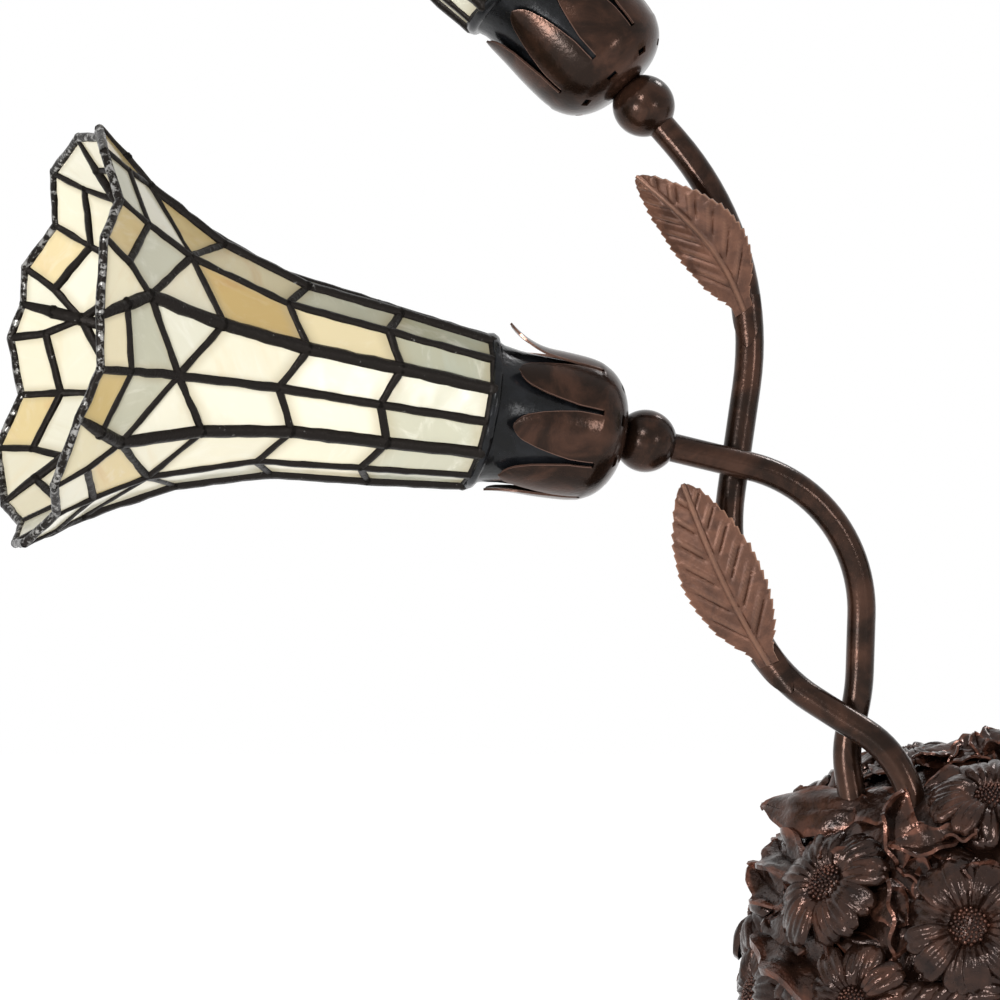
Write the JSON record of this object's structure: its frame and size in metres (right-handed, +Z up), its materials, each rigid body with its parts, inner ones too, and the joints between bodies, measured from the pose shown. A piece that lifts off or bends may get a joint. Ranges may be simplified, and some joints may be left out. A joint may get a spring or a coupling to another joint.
{
  "type": "table lamp",
  "caption": "Table lamp with leaded-glass lily shades in petal cups on bent bronze stems that rise from a cast flower basket.",
  "frame": {"origin": "middle of the foot's underside, on the table", "axes": "+Z up, +X to the right as the picture shows the lamp, -Y towards the viewer"},
  "size_m": [0.6642, 0.3189, 0.5729],
  "materials": {
    "bronze": "satin dark mahogany bronze",
    "cast_bronze": "glossy dark bronze lacquer with reddish highlights",
    "leaf_bronze": "coppery brown bronze",
    "collar_bronze": "blue-black metal",
    "solder": "near-black patinated solder with silvery glints",
    "leaded_glass": "opalescent cream glass with amber streaks",
    "bulb_glass": "frosted glass",
    "brass": "plain brass",
    "steel": "zinc-plated steel",
    "socket_black": "black moulded plastic",
    "connector_grey": "grey moulded plastic",
    "felt": "dark green felt"
  },
  "bodies": {
    "stand": {"petal_cup_a": "bronze", "socket_housing_a": "socket_black", "socket_shell_a": "brass", "socket_contact_a": "brass", "nipple_a": "steel", "collar_nut_a": "steel", "stem_ball_a": "bronze", "stem_tube_a": "bronze", "petal_cup_b": "bronze", "socket_housing_b": "socket_black", "socket_shell_b": "brass", "socket_contact_b": "brass", "nipple_b": "steel", "collar_nut_b": "steel", "stem_ball_b": "bronze", "stem_tube_b": "bronze", "petal_cup_c": "bronze", "socket_housing_c": "socket_black", "socket_shell_c": "brass", "socket_contact_c": "brass", "nipple_c": "steel", "collar_nut_c": "steel", "stem_ball_c": "bronze", "stem_tube_c": "bronze", "leaf_lower": "leaf_bronze", "leaf_upper": "leaf_bronze", "base_casting": "cast_bronze", "cord_bushing": "socket_black", "stem_bracket": "steel", "stem_nuts": "steel", "bracket_screws": "steel", "plate_screws": "steel", "bottom_plate": "steel", "felt_pad": "felt", "wire_connectors": "connector_grey"},
    "shade_a": {"shade_came_a": "solder", "shade_glass_a": "leaded_glass", "shade_collar_a": "collar_bronze"},
    "bulb_a": {"bulb_cap_a": "steel", "bulb_glass_a": "bulb_glass"},
    "shade_b": {"shade_came_b": "solder", "shade_glass_b": "leaded_glass", "shade_collar_b": "collar_bronze"},
    "bulb_b": {"bulb_cap_b": "steel", "bulb_glass_b": "bulb_glass"},
    "shade_c": {"shade_came_c": "solder", "shade_glass_c": "leaded_glass", "shade_collar_c": "collar_bronze"},
    "bulb_c": {"bulb_cap_c": "steel", "bulb_glass_c": "bulb_glass"}
  },
  "joints": [
    {"name": "shade_turn_a", "type": "hinge", "parent": "stand", "child": "shade_a", "pos_m": [-0.17527, -0.06238, 0.28018], "axis": [-0.9621, -0.2105, 0.1731], "continuous": true},
    {"name": "bulb_screw_a", "type": "hinge", "parent": "stand", "child": "bulb_a", "pos_m": [-0.17527, -0.06238, 0.28018], "axis": [-0.9621, -0.2105, 0.1731], "range_deg": [0, 1080]},
    {"name": "shade_turn_b", "type": "hinge", "parent": "stand", "child": "shade_b", "pos_m": [-0.15851, -0.01585, 0.42412], "axis": [-0.6719, 0.1045, 0.7332], "continuous": true},
    {"name": "bulb_screw_b", "type": "hinge", "parent": "stand", "child": "bulb_b", "pos_m": [-0.15851, -0.01585, 0.42412], "axis": [-0.6719, 0.1045, 0.7332], "range_deg": [0, 1080]},
    {"name": "shade_turn_c", "type": "hinge", "parent": "stand", "child": "shade_c", "pos_m": [0.17527, 0.06238, 0.28018], "axis": [0.9621, 0.2105, 0.1731], "continuous": true},
    {"name": "bulb_screw_c", "type": "hinge", "parent": "stand", "child": "bulb_c", "pos_m": [0.17527, 0.06238, 0.28018], "axis": [0.9621, 0.2105, 0.1731], "range_deg": [0, 1080]}
  ]
}
